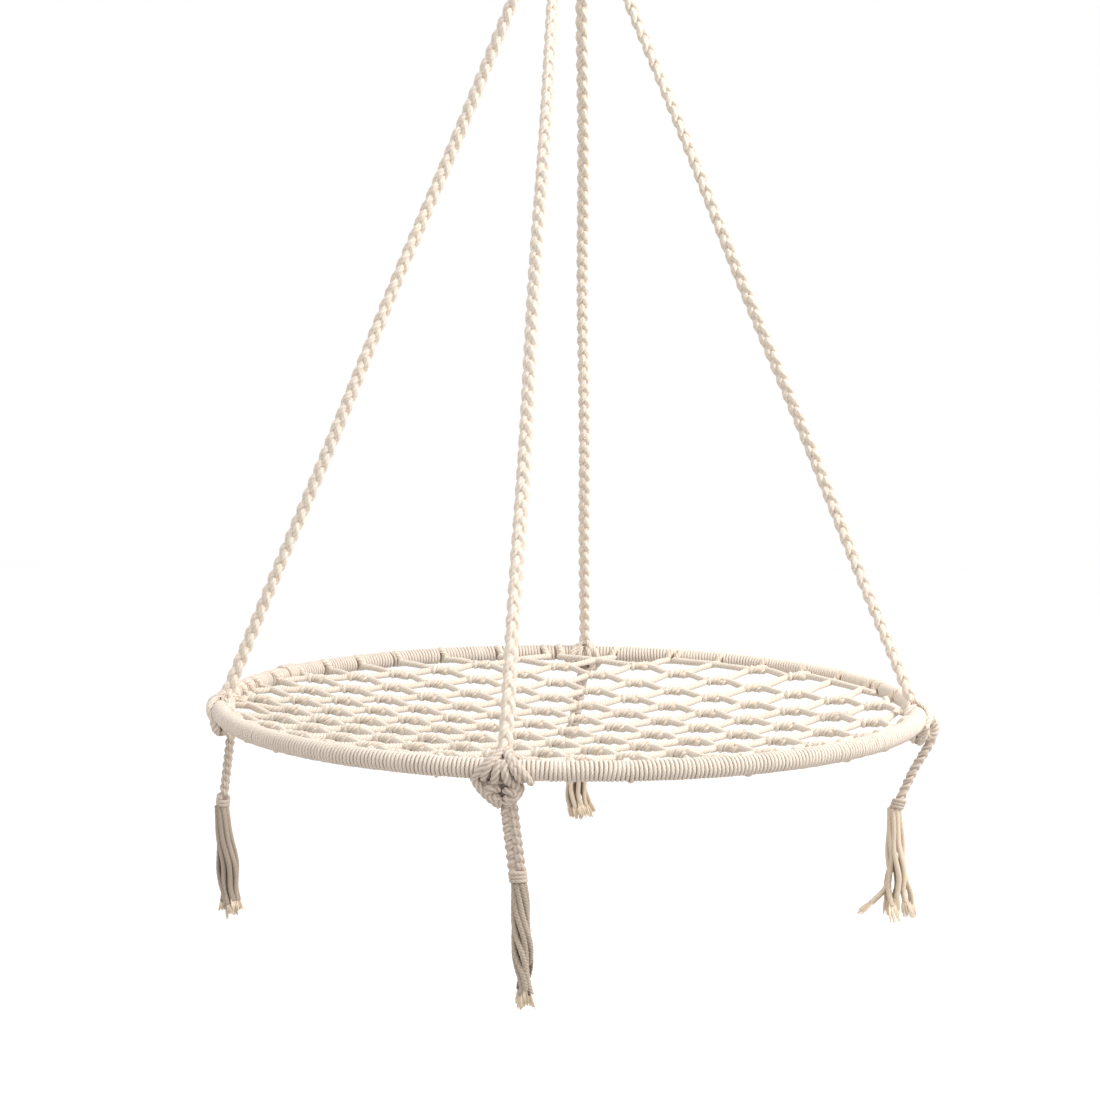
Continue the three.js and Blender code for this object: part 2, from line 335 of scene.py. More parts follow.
class Shader:
    """A material's node tree, with one method that adds any node."""

    def __init__(self, name, roughness, sheen=0.0, metallic=0.0):
        self.material = bpy.data.materials.new(name)
        self.material.use_nodes = True
        self.tree = self.material.node_tree
        self.surface = self.tree.nodes["Principled BSDF"]
        self.surface.inputs["Roughness"].default_value = roughness
        self.surface.inputs["Sheen Weight"].default_value = sheen
        self.surface.inputs["Metallic"].default_value = metallic

    def node(self, kind, settings=None, inputs=None):
        made = self.tree.nodes.new(kind)
        for key, value in (settings or {}).items():
            setattr(made, key, value)
        for key, value in (inputs or {}).items():
            if isinstance(value, Value):
                value = value.socket
            if isinstance(value, bpy.types.NodeSocket):
                self.tree.links.new(value, made.inputs[key])
            else:
                made.inputs[key].default_value = value
        return made

    def value(self, socket):
        return Value(self, socket)

    def mix(self, factor, first, second):
        """Goes from the first colour to the second."""
        made = self.node("ShaderNodeMix", {"data_type": "RGBA"}, {0: factor, 6: first, 7: second})
        return made.outputs[2]

    def noise(self, vector, scale, detail=2.0, rough=0.5):
        made = self.node("ShaderNodeTexNoise", None,
                         {"Vector": vector, "Scale": scale, "Detail": detail, "Roughness": rough})
        return self.value(made.outputs["Fac"])

    def span(self, value, low, high):
        """Stretches what lies between low and high to 0 and 1."""
        made = self.node("ShaderNodeMapRange", None,
                         {"Value": value, "From Min": low, "From Max": high})
        return self.value(made.outputs["Result"])

    def vector(self, x, y, z):
        return self.node("ShaderNodeCombineXYZ", None, {0: x, 1: y, 2: z}).outputs[0]

    def bump(self, height, distance, strength=1.0):
        made = self.node("ShaderNodeBump", None,
                         {"Height": height, "Distance": distance, "Strength": strength})
        self.tree.links.new(made.outputs["Normal"], self.surface.inputs["Normal"])

    def feed(self, name, socket):
        if isinstance(socket, Value):
            socket = socket.socket
        self.tree.links.new(socket, self.surface.inputs[name])


def cotton(name, lit, deep, yarns=6, slant=0.5, yarn_depth=0.00035, crease_shade_weight=0.8, yarn_gap_shade=0.0):
    """Undyed cotton: yarns laid slantwise round each cord, fluff, mottling and painted shade in its
    creases.
    lit is the open colour and deep the painted shade colour of creases; the yarn gap weight paints shade
    into the lines between yarns."""
    shader = Shader(name, roughness=0.92, sheen=0.25)
    shader.surface.inputs["Sheen Roughness"].default_value = 0.6
    coordinate = shader.node("ShaderNodeTexCoord")
    cut = shader.node("ShaderNodeSeparateXYZ", None, {0: coordinate.outputs["UV"]})
    around, length = shader.value(cut.outputs[0]), shader.value(cut.outputs[1])
    lean = (around + length * slant) * (2 * math.pi)
    streak_place = shader.vector(lean.cosine() * 1.6, lean.sine() * 1.6, length * 0.35)
    streak = shader.noise(streak_place, 2.2, 3.0, 0.6)
    yarn = (lean * yarns).cosine() * 0.5 + 0.5
    mottle = shader.noise(coordinate.outputs["Object"], 38.0, 3.0, 0.55)
    fluff = shader.noise(coordinate.outputs["Object"], 900.0, 2.0, 0.6)
    painted_openness = shader.node("ShaderNodeAttribute", {"attribute_name": "open"}).outputs["Fac"]
    # Painted shade: the colour goes to deep where the painted light share is low and in the lines between
    # yarns.
    painted_shade_mask = (1 - shader.value(painted_openness)) * crease_shade_weight + (1 - yarn) * (1 - yarn) * yarn_gap_shade
    # Random mottling and streaks, with a little painted shade between the yarns.
    mottle_and_yarn_shade = shader.span(mottle, 0.3, 0.7) * 0.45 + shader.span(streak, 0.3, 0.7) * 0.35 + (1 - yarn) * 0.2
    mottle_and_shade_colour = tuple(0.62 * a + 0.38 * b for a, b in zip(lit, deep))
    colour = shader.mix(mottle_and_yarn_shade * 0.36, lit, mottle_and_shade_colour)
    shader.feed("Base Color", shader.mix(painted_shade_mask, colour, deep))
    shader.bump(yarn * 0.55 + streak * 0.75 + fluff * 0.5, yarn_depth)
    return shader.material


def linear(red, green, blue):
    """A colour as seen on a screen, 0 to 255, turned to the light it gives back."""
    return tuple(((c / 255 + 0.055) / 1.055) ** 2.4 for c in (red, green, blue)) + (1.0,)


NET_COTTON = cotton("net_cotton", linear(252, 241, 225), linear(136, 100, 70), yarns=5, slant=1.5,
                    crease_shade_weight=0.9, yarn_gap_shade=0.24)
WRAP_COTTON = cotton("wrap_cotton", linear(244, 232, 218), linear(120, 94, 74), yarns=4)
BRAID_COTTON = cotton("braid_cotton", linear(246, 234, 219), linear(120, 92, 68), yarns=5,
                      yarn_depth=0.0005, crease_shade_weight=0.95)
# A darker copy of the braid cotton, as painted shade for the tails, their whipping and the front knot.
SHADED_TAIL_COTTON = cotton("shaded_tail_cotton", linear(226, 211, 196), linear(92, 70, 54), yarns=5,
                     yarn_depth=0.0005, crease_shade_weight=1.0)
# Lit and shaded copies of the fringe cotton: the front and left fringes take the darker one as painted
# shade.
FRINGE_LIT = cotton("fringe_lit", linear(252, 234, 210), linear(120, 90, 62), yarns=5, slant=1.2,
                      yarn_depth=0.0008, crease_shade_weight=0.8, yarn_gap_shade=0.20)
FRINGE_SHADED = cotton("fringe_shaded", linear(210, 193, 175), linear(66, 48, 34), yarns=5, slant=1.2,
                     yarn_depth=0.0008, crease_shade_weight=0.9, yarn_gap_shade=0.22)
FRAYED_COTTON = cotton("frayed_cotton", linear(255, 238, 214), linear(150, 118, 88), yarn_depth=0.0002)
FRINGE_LOOK = {"front": FRINGE_SHADED, "left": FRINGE_SHADED, "right": FRINGE_LIT, "back": FRINGE_LIT}


def steel(name, colour, roughness):
    """Zinc-plated steel wire: draw marks along it and a mottled dull bloom."""
    shader = Shader(name, roughness, metallic=1.0)
    place = shader.node("ShaderNodeTexCoord").outputs["Object"]
    bloom = shader.noise(place, 160.0, 4.0, 0.6)
    scratch = shader.noise(place, 1400.0, 2.0, 0.7)
    shader.feed("Base Color", shader.mix(bloom, colour, tuple(0.72 * c for c in colour[:3]) + (1.0,)))
    shader.feed("Roughness", bloom * 0.25 + scratch * 0.12 + (roughness - 0.15))
    shader.bump(bloom + scratch * 0.4, 0.00008)
    return shader.material


ZINC = steel("zinc_plate", linear(196, 199, 202), 0.34)
TUBE_STEEL = steel("tube_steel", linear(150, 152, 156), 0.5)


# ---- hoop ----

def on_tube(angle, swing, radius):
    """A point beside the tube: swing goes round it from the outside, over the top."""
    outward = np.stack([np.cos(angle), np.sin(angle), np.zeros_like(angle)], -1)
    lift = outward * np.cos(swing)[..., None] + UP * np.sin(swing)[..., None]
    return HOOP_CENTRE + outward * HOOP_RADIUS + lift * np.asarray(radius)[..., None], lift


def net_point(row, step):
    """The lattice's knot in the hoop's own plane, as the CAD has it."""
    r, s = row - 5, step + 2
    x = -0.047 + 0.0635 * s + 0.0007 * s * s - 0.0534 * r - 0.0009 * r * r - 0.00063 * r * s
    y = 0.067 + 0.0434 * s + 0.00235 * s * s + 0.0602 * r - 0.0008 * r * r
    return np.array([x, y])


def on_net(flat, rise=0.0):
    """A point of the net's bowl, a little above or below its middle surface."""
    flat = np.asarray(flat, float)
    sag = -NET_SAG * (1 - (flat[..., 0] ** 2 + flat[..., 1] ** 2) / HOOP_RADIUS**2)
    return HOOP_CENTRE + np.concatenate([flat, (sag + rise)[..., None]], -1)


def is_knot(flat):
    return np.hypot(*flat) < NET_KNOT_LIMIT


KNOTS = {
    (row, step): net_point(row, step)
    for row in range(-3, 13) for step in range(-12, 7)
    if is_knot(net_point(row, step))
}


def hoop_crossing(inside, toward):
    """Where the line from a knot towards a point meets the hoop."""
    way = unit(toward - inside)
    b = np.dot(inside, way)
    return inside + way * (-b + math.sqrt(b * b - np.dot(inside, inside) + HOOP_RADIUS**2))


def run_direction(key):
    """The way that the doubled stretch to the right of a knot points."""
    row, step = key
    here = net_point(row, step)
    return unit(unit(net_point(row, step + 1) - here) + unit(net_point(row - 1, step) - here))


def net_runs():
    """Each cord as the knots it passes, left to right, with the lattice points past both its ends."""
    runs = []
    for row in range(-3, 13):
        steps = [step for step in range(-12, 7) if (row, step) in KNOTS]
        if steps:
            runs.append(("row", [(row, s) for s in range(min(steps) - 1, max(steps) + 2)]))
    for step in range(-12, 7):
        rows = [row for row in range(-3, 13) if (row, step) in KNOTS]
        if rows:
            runs.append(("cross", [(r, step) for r in range(max(rows) + 1, min(rows) - 2, -1)]))
    return runs


def loop_places():
    """The angles round the hoop where net cords are tied on, pushed apart where they crowd."""
    found = []
    for number, (kind, keys) in enumerate(net_runs()):
        for end, inner, outer in (("start", keys[1], keys[0]), ("stop", keys[-2], keys[-1])):
            met = hoop_crossing(net_point(*inner), net_point(*outer))
            found.append([math.atan2(met[1], met[0]), number, end])
    found.sort()
    gap = 0.0095 / HOOP_RADIUS
    for _ in range(60):
        for a, b in zip(found, found[1:] + found[:1]):
            short = gap - (b[0] - a[0]) % (2 * math.pi)
            if 0 < short < gap:
                a[0] -= short / 2
                b[0] += short / 2
        for spot in found:
            for angle in ANGLE.values():
                off = (spot[0] - angle + math.pi) % (2 * math.pi) - math.pi
                least = (KNOT_HALF + 0.006) / HOOP_RADIUS
                if abs(off) < least:
                    spot[0] += math.copysign(least, off) - off
    return {(number, end): angle for angle, number, end in found}


LOOPS = loop_places()


def slit_side(angle):
    """The wrap opens beside each tie, on the side away from the front-to-back line."""
    return math.copysign(0.0052 / HOOP_RADIUS, -math.cos(angle))


def make_hoop_wrap(start_name, end_name):
    """One cord wound round the hoop from knot to knot over a thinner first layer, which is painted in deep
    shade.
    It parts at the ties on the back half, and leans a little this way and that."""
    start, end = ANGLE[start_name], ANGLE[end_name]
    end += 2 * math.pi if end < start else 0
    ties = [a for a in LOOPS.values() if math.sin(a) > 0.12]
    gaps = sorted((a + slit_side(a) - start) % (2 * math.pi) for a in ties)
    gaps = [g for g in gaps if g < end - start]
    opening = SLIT / HOOP_RADIUS
    pitch = WRAP_PITCH / HOOP_RADIUS
    wound = (end - start) - opening * len(gaps)
    turns = int(wound / pitch)
    pitch = wound / turns
    per_turn, sides = 36, 10
    t = np.arange(turns * per_turn + 1) / per_turn
    whole = np.arange(turns + 2)
    uneven = np.cumsum([random.gauss(0, 0.03) for _ in whole])
    uneven = uneven - np.linspace(0, uneven[-1], len(uneven))
    packed = (t + np.interp(t, whole, uneven) * 0.6) * pitch
    place = packed.copy()
    for passed, gap in enumerate(gaps):
        turn = round((gap - opening * (passed + 0.5)) / pitch - 0.75) + 0.75
        place += opening * np.clip((t - turn) / 0.34 + 0.5, 0, 1)
    swing = -2 * np.pi * t
    leaning = np.interp(t, whole[::5], [random.gauss(0.0006, 0.0010) for _ in whole[::5]])
    place += leaning * np.sin(swing) / HOOP_RADIUS
    proud = np.interp(t, whole, [random.gauss(0, 0.00018) for _ in whole])
    line, lift = on_tube(start + place, swing, WRAP_RADIUS - WRAP_CORD[1] + proud)
    corner = 2 * np.pi * np.arange(sides) / sides
    # Painted shade: each turn is darker on its sides, where it presses on its neighbours.
    painted_light = np.broadcast_to(0.34 + 0.66 * np.clip(np.cos(corner), 0, 1) ** 0.5, (len(line), sides))
    width = WRAP_CORD[0] * np.interp(t, whole, [random.gauss(1, 0.035) for _ in whole])
    yarn = Yarn()
    yarn.sweep(line, width, deep=WRAP_CORD[1], facing=lift, sides=sides, plies=3, groove=0.20,
               lay=WRAP_LAY, painted_light=painted_light)
    arc = np.linspace(start, end, int((end - start) * HOOP_RADIUS / 0.006))
    under, _ = on_tube(arc, np.zeros_like(arc), np.zeros_like(arc))
    # The first layer is painted in deep shade, so the slits at the ties show as shade.
    yarn.sweep(under, WRAP_UNDER, facing=UP, sides=20, painted_light=0.05)
    if (start_name, end_name) in TIE_OFF:
        t = np.linspace(0, 5.3, 5 * 40)
        spot = TIE_OFF[(start_name, end_name)] + (t - 2.6) * 0.0046 / HOOP_RADIUS
        spot = spot + np.sin(2 * np.pi * t) * 0.006
        ring, out = on_tube(spot, 2 * np.pi * t, np.full_like(t, WRAP_RADIUS + 0.0006))
        # The tie-off is painted a little shaded.
        yarn.sweep(ring, 0.0027, deep=0.0026, facing=out, sides=sides, plies=3, groove=0.2, lay=WRAP_LAY,
                   painted_light=0.9)
    name = f"hoop_wrap_{start_name}_{end_name}"
    return yarn.piece(f"{name}_cord", WRAP_COTTON, "seat", [name])


def make_hoop():
    order = sorted(ANGLE, key=lambda name: ANGLE[name])
    known = {"hoop_wrap_left_front", "hoop_wrap_front_right", "hoop_wrap_right_back", "hoop_wrap_back_left"}
    for first, second in zip(order, order[1:] + order[:1]):
        assert f"hoop_wrap_{first}_{second}" in known
        make_hoop_wrap(first, second)
    for name in ("hoop_tube", "hoop_spigot"):
        node = frame["nodes"][name]
        node.data.materials.clear()
        node.data.materials.append(TUBE_STEEL)


# ---- net ----

def beside(key, out, swing, spread):
    """A point near a knot, out along its doubled stretch, with the cord's swing round the pair."""
    way = run_direction(key)
    side = np.array([-way[1], way[0]])
    flat = KNOTS[key] + way * out + side * math.cos(swing) * spread
    return on_net(flat, math.sin(swing) * spread)


def hoop_end(number, end, inner_point):
    """The net cord's last stretch: up the hoop's inner side, over its top and in under the wrap."""
    angle = LOOPS[(number, end)]
    swings = np.radians([198, 175, 152, 132, 114, 98])
    hold = WRAP_RADIUS + np.array([0.0020, 0.0012, 0.0004, -0.0004, -0.0020, -0.0056])
    lean = np.linspace(-0.5, 0.9, len(swings)) * 0.007 / HOOP_RADIUS * math.copysign(1, -math.cos(angle))
    ring, _ = on_tube(angle + lean, swings, hold)
    outward = np.array([math.cos(angle), math.sin(angle), 0.0])
    touch = HOOP_CENTRE + outward * (HOOP_RADIUS - WRAP_RADIUS - 0.009) - UP * 0.003
    middle = (touch + inner_point) / 2 + UP * 0.001
    return [middle, touch] + list(ring)


def net_cord_line(number, kind, keys):
    """One cord of the net, from hoop to hoop through its knots."""
    half_turn = 0.0 if kind == "row" else math.pi
    points = []
    for key in keys[1:-1]:
        pair = NET_PAIR * random.uniform(0.88, 1.15)
        points.append(beside(key, -0.010, half_turn + math.radians(190), 0.0062))
        points.append(beside(key, -0.001, half_turn + math.radians(172), 0.0030))
        points.append(beside(key, 0.35 * pair, half_turn + math.radians(135), 0.0033))
        points.append(beside(key, 0.70 * pair, half_turn + math.radians(50), 0.0033))
        points.append(beside(key, 1.0 * pair, half_turn + math.radians(8), 0.0044))
    start = hoop_end(number, "start", points[0])
    stop = hoop_end(number, "stop", points[-1])
    return start[::-1] + points + stop


def make_net():
    """Each net cord is a piece of its own. The knots that bind them in pairs are one more, with the
    small lumps that some of the ties make under the front of the hoop."""
    first = True
    for number, (kind, keys) in enumerate(net_runs()):
        line = smooth(net_cord_line(number, kind, keys), NET_LAY / 15)
        girth = NET_CORD * (1 + 0.05 * np.sin(along(line) * 90 + random.uniform(0, 6)))
        yarn = Yarn()
        yarn.sweep(line, girth, sides=12, plies=3, groove=0.26, lay=-NET_LAY)
        label = "net_row" if kind == "row" else "net_cross"
        yarn.piece(f"{label}_{number:02d}", NET_COTTON, "seat", ["net"] if first else ())
        first = False
    binding = Yarn()
    for key in KNOTS:
        way = run_direction(key)
        side = np.array([-way[1], way[0], 0.0])
        way = np.array([way[0], way[1], 0.0])
        centre = on_net(KNOTS[key])
        tilt = random.uniform(0.1, 0.4)
        size = random.uniform(0.94, 1.08)
        a = np.linspace(0, 2 * np.pi * 1.08, 25)
        ring = centre + size * (
            np.outer(np.cos(a) * 0.0056, side)
            + np.outer(np.sin(a) * 0.0052, UP)
            + np.outer(np.sin(a) * 0.0044 * tilt + (a / 7 - 0.5) * 0.002, way)
        )
        binding.sweep(ring, 0.0029, deep=0.0024, sides=8, facing=ring - centre, painted_light=0.97)
        # A thin cord painted in deep shade lies in each knot's hollow, as a dark crease.
        hollow = ring + np.append(run_direction(key), 0.0) * 0.0036
        binding.sweep(centre + (hollow - centre) * 0.96, 0.0012, sides=6, facing=ring - centre, painted_light=0.35)
    for angle in LOOPS.values():
        if math.sin(angle) < -0.25 and random.random() < 0.40:
            t = np.linspace(-1, 1, 9)
            swing = np.radians(-98 + 42 * t)
            nub, out = on_tube(angle + 0.006 * t, swing, WRAP_RADIUS + 0.0004 - 0.0030 * t**2)
            # The lumps are painted a little shaded.
            binding.sweep(nub, 0.0024, deep=0.0020, facing=out, sides=8, painted_light=0.85)
    binding.piece("net_knots", NET_COTTON, "seat")


# ---- braids ----

def plait(yarn, line, across, swing, strand, pitch, turn=None, phase=0.0, lobes=4, groove=0.15, painted_light=1.0):
    """Three strands plaited along a line: each swings across it and over and under the others.
    swing is how far they go across and over, and strand is their half width and thickness."""
    reach = along(line)
    ways = unit(np.gradient(line, axis=0))
    across = np.broadcast_to(np.asarray(across, float), line.shape)
    across = unit(across - ways * np.sum(across * ways, 1, keepdims=True))
    over = np.cross(ways, across)
    if turn is not None:
        turned = turn(reach)[:, None]
        cosine, sine = np.cos(turned), np.sin(turned)
        across, over = across * cosine + over * sine, over * cosine - across * sine
    for k in range(3):
        angle = 2 * np.pi * (reach / pitch + k / 3) + phase
        x, z = swing[0] * np.sin(angle), swing[1] * np.sin(2 * angle)
        path = line + across * x[:, None] + over * z[:, None]
        # Painted shade: a strand is darker where it passes under the others.
        level = 0.5 + 0.5 * np.clip(np.abs(z) / swing[1], 0, 1)
        painted_under_light = np.clip(1 - 0.70 * np.cos(angle) ** 2 * (1 - level), 0, 1)
        yarn.sweep(path, strand[0], deep=strand[1], facing=over, sides=16, plies=lobes, groove=groove,
                   lay=0.034, painted_light=painted_light * painted_under_light, turn=0.3 * k)


def outward_of(name):
    return np.array([math.cos(ANGLE[name]), math.sin(ANGLE[name]), 0.0])


def foot_of(name):
    """Where a rope meets the middle of the hoop's tube."""
    return HOOP_CENTRE + outward_of(name) * HOOP_RADIUS


def braid_top(name):
    """Where a rope goes in under the gathering wrap."""
    side = SIDE[name]
    return np.array([side[0] * BRAID_SPREAD[0], side[1] * BRAID_SPREAD[1], -BRAID_TOP])


def make_suspension_braid(name):
    """A plaited rope from the hoop knot to the gathering wrap, turning slowly about itself."""
    foot = foot_of(name)
    top = braid_top(name)
    rise = unit(top - foot)
    start = foot + rise * 0.021
    line = spaced(np.array([start, top + rise * 0.006]), 0.003)
    waver = np.sin(np.linspace(0, np.pi * 5, len(line))) * 0.0012
    waver *= np.sin(np.linspace(0, np.pi, len(line)))
    line = line + np.outer(waver, unit(np.cross(rise, [0.3, 1.0, 0.0])))
    drift = random.uniform(0, 6)
    yarn = Yarn()
    plait(yarn, line, RIGHT, BRAID_SWING, BRAID_STRAND, BRAID_PITCH,
          turn=lambda reach: 0.55 * np.sin(reach * 7.5 + drift), phase=random.uniform(0, 6))
    made = yarn.piece(f"braid_{name}", BRAID_COTTON, "seat", [f"suspension_braid_{name}"])
    return made


# ---- hoop knots ----

def make_hoop_knot(name):
    """The rope parts over the hoop in leaf-shaped strands, and two lobes bind them below it.
    The right knot has a ball of cord on its outer side as well."""
    foot = foot_of(name)
    outward = outward_of(name)
    sideways = np.cross(UP, outward)
    rise = unit(braid_top(name) - foot)
    size = KNOT_SIZE[name]

    def at(s, o, z):
        """A point so far sideways, outwards and up from the tube's middle."""
        return foot + sideways * s + outward * o + UP * z

    def below(s, o, z):
        """The same, drawn in towards the hoop's underside on the smaller knots."""
        return at(s * size, o * size, -0.014 + (z + 0.014) * size)

    yarn = Yarn()

    def strand(points, wide, thick, facing=None, painted_light=1.0, lobes=4, groove=0.28, lay=0.034, slim=1.0):
        """Lies flat on the hoop unless it faces another way. slim narrows its second half."""
        line = smooth(points, 0.0014)
        hug = line - foot if facing is None else facing
        wide = wide * np.interp(np.linspace(0, 1, len(line)), [0.3, 0.55], [1.0, slim])
        yarn.sweep(line, wide, deep=thick, facing=hug, sides=18, plies=lobes, groove=groove, lay=lay,
                   painted_light=painted_light)

    neck = foot + rise * 0.025
    plump = 1.0 if name == "front" else 0.45
    hold = WRAP_RADIUS + 0.0008 + 0.0022 * plump
    leaf = (0.0058, 0.0046) if name == "front" else (0.0052, 0.0034)

    def over(near, swing, lift):
        """A point on the wrap: how far along the hoop, swung up from its outer side, and lifted off it."""
        a = math.radians(swing)
        return at(near, (hold + lift * plump) * math.cos(a), (hold + lift * plump) * math.sin(a))

    for s in (-1, 1):
        outer = 0.0325 * s * (0.6 + 0.4 * size)
        route = [neck + sideways * 0.0035 * s + outward * 0.0045]
        for swing, share, lift in (
                (68, 0.20, 0.0030), (40, 0.46, 0.0030), (10, 0.74, 0.0016), (-22, 0.95, 0.0),
                (-60, 1.04, -0.001), (-125, 0.9, -0.001), (-165, 0.7, 0), (-200, 0.45, 0)):
            route.append(over(outer * share, swing, lift))
        route.append(neck + sideways * 0.003 * s - outward * 0.003)
        strand(route, leaf[0], leaf[1], slim=0.66)
        # The leaf strands over the top are painted a little shaded.
        for start, end, swing, lift in ((0.0050, 0.0215, 50, 0.0034), (0.0015, 0.0085, 30, 0.0052)):
            start, end = start * s, end * s
            strand([over(start * 0.6, swing + 24, -0.004),
                    over(start + (end - start) * 0.25, swing, lift * 0.6),
                    over(start + (end - start) * 0.62, swing - 34, lift),
                    over(end, swing - 68, lift * 0.5),
                    over(end * 1.05, swing - 96, -0.003)], leaf[0] * 0.95, leaf[1], painted_light=0.97)
            strand([neck - outward * 0.002 + sideways * start * 0.5, over(start, 105, 0.0),
                    over(end * 0.7, 140, 0.002), over(end, 180, 0.002), over(end * 1.05, 220, 0.001),
                    over(end, 250, -0.002)], leaf[0] * 0.95, leaf[1], painted_light=0.95)
    for s in (-1, 1):
        for face in (1, -1):
            lean = 0.0020 * s * face
            strand([below(0.003 * s, 0.004 * face, -0.010),
                    below(0.011 * s, 0.0090 * face, -0.0150 + lean),
                    below(0.0165 * s, 0.0085 * face, -0.0215 + lean),
                    below(0.0150 * s, 0.0080 * face, -0.0290),
                    below(0.0085 * s, 0.0080 * face, -0.0335),
                    below(0.0025 * s, 0.0040 * face, -0.0390)],
                   0.0074 * size, 0.0068 * size, facing=outward * face, lobes=4, groove=0.34, lay=0.028)
        strand([below(0.003 * s, 0.011, -0.0225), below(0.0095 * s, 0.0150, -0.0215 - 0.001 * s),
                below(0.0160 * s, 0.0130, -0.0250), below(0.0150 * s, 0.0120, -0.0310),
                below(0.0080 * s, 0.0110, -0.0340), below(0.0035 * s, 0.0090, -0.0300)],
               0.0044 * size, 0.0042 * size, facing=outward, lobes=3, groove=0.34, lay=0.024)
    strand([at(-0.034, 0.012, -0.009), below(-0.028, 0.0125, -0.0190), below(-0.0195, 0.0105, -0.0290),
            below(-0.0105, 0.0080, -0.0370), below(-0.004, 0.003, -0.0430)], 0.0054, 0.0044, facing=outward)
    # This short strand is painted in partial shade.
    strand([at(-0.030, 0.004, -0.008), below(-0.022, 0.006, -0.0190), below(-0.008, 0.004, -0.0340)],
           0.0082 * size, 0.006 * size, facing=outward, painted_light=0.75)
    if name == "right":
        for near in (-0.0062, 0.0062):
            coil = [at(near, 0.0175 + 0.0068 * math.cos(b), -0.0150 + 0.0105 * math.sin(b))
                    for b in np.linspace(0.4, 6.9, 12)]
            strand(coil, 0.0072, 0.0062, facing=sideways * near, lobes=4, groove=0.34, lay=0.028)
        strand([at(0, 0.010, 0.006), at(0, 0.018, -0.012), at(0, 0.013, -0.032)], 0.0090, 0.0085,
               facing=outward)
    # The middle strand below the knot is painted in deep shade.
    strand([at(0, 0, -0.010), below(0, 0, -0.026), below(0, 0, -0.043)], 0.009 * size, 0.0075 * size,
           facing=outward, painted_light=0.4)
    # The front knot takes the darker tail cotton as painted shade.
    return yarn.piece(f"hoop_knot_cords_{name}", SHADED_TAIL_COTTON if name == "front" else BRAID_COTTON,
                      "seat", [f"hoop_knot_{name}"])


# ---- tails and fringes ----

def make_tail(name):
    """The short plait below a knot, hanging from its hinge, and the whipping on its end.
    The right one leaves the outer side of its knot, so its top is bowed outwards."""
    hinge = np.array(JOINT[f"tail_{name}_swing"]["pos_m"])
    fall = unit([BRAID_LEAN[name], 0, -TAIL_LENGTH])
    outward = outward_of(name)
    across = np.cross(UP, outward) if name in ("front", "back") else outward * 0.35 + np.cross(UP, outward)
    above = RIGHT_TAIL_ABOVE if name == "right" else TAIL_ABOVE
    line = spaced(np.array([hinge - fall * above, hinge + fall * (TAIL_LENGTH + 0.002)]), 0.0018)
    if name == "right":
        bow = RIGHT_TAIL_BOW * np.exp(-((np.linspace(0, 1, len(line)) / 0.42) ** 2))
        line = line + np.outer(bow, outward)
    yarn = Yarn()
    plait(yarn, line, across, TAIL_SWING[name], TAIL_STRAND[name], TAIL_PITCH,
          phase=random.uniform(0, 6), groove=0.26)
    yarn.piece(f"tail_plait_{name}", SHADED_TAIL_COTTON, f"tail_{name}", [f"tail_braid_{name}"])

    wound = Yarn()
    turns = 2.7
    a = np.linspace(0, 2 * np.pi * turns, int(turns * 26))
    flat = unit(across - fall * np.dot(across, fall))
    deep = np.cross(fall, flat)
    down = TAIL_LENGTH - 0.0005 + 0.0125 * a / a[-1]
    spot = hinge + np.outer(down, fall)
    ring = np.outer(np.cos(a) * WHIPPING_RING[0], flat) + np.outer(np.sin(a) * WHIPPING_RING[1], deep)
    tilt = np.outer(np.cos(a + 0.8) * 0.0022, fall)
    wound.sweep(spot + ring + tilt, WHIPPING_CORD, facing=ring, sides=10, plies=3, groove=0.25,
                lay=0.012, painted_light=0.95)
    # The core inside the whipping is painted in deep shade.
    core = np.array([hinge + fall * (TAIL_LENGTH - 0.002), hinge + fall * (TAIL_LENGTH + 0.0135)])
    wound.sweep(spaced(core, 0.003), 0.0082, deep=0.0062, facing=deep, sides=16, plies=4, groove=0.15,
                painted_light=0.4)
    wound.piece(f"whipping_cord_{name}", SHADED_TAIL_COTTON, f"tail_{name}",
                [f"tail_whipping_{name}"])


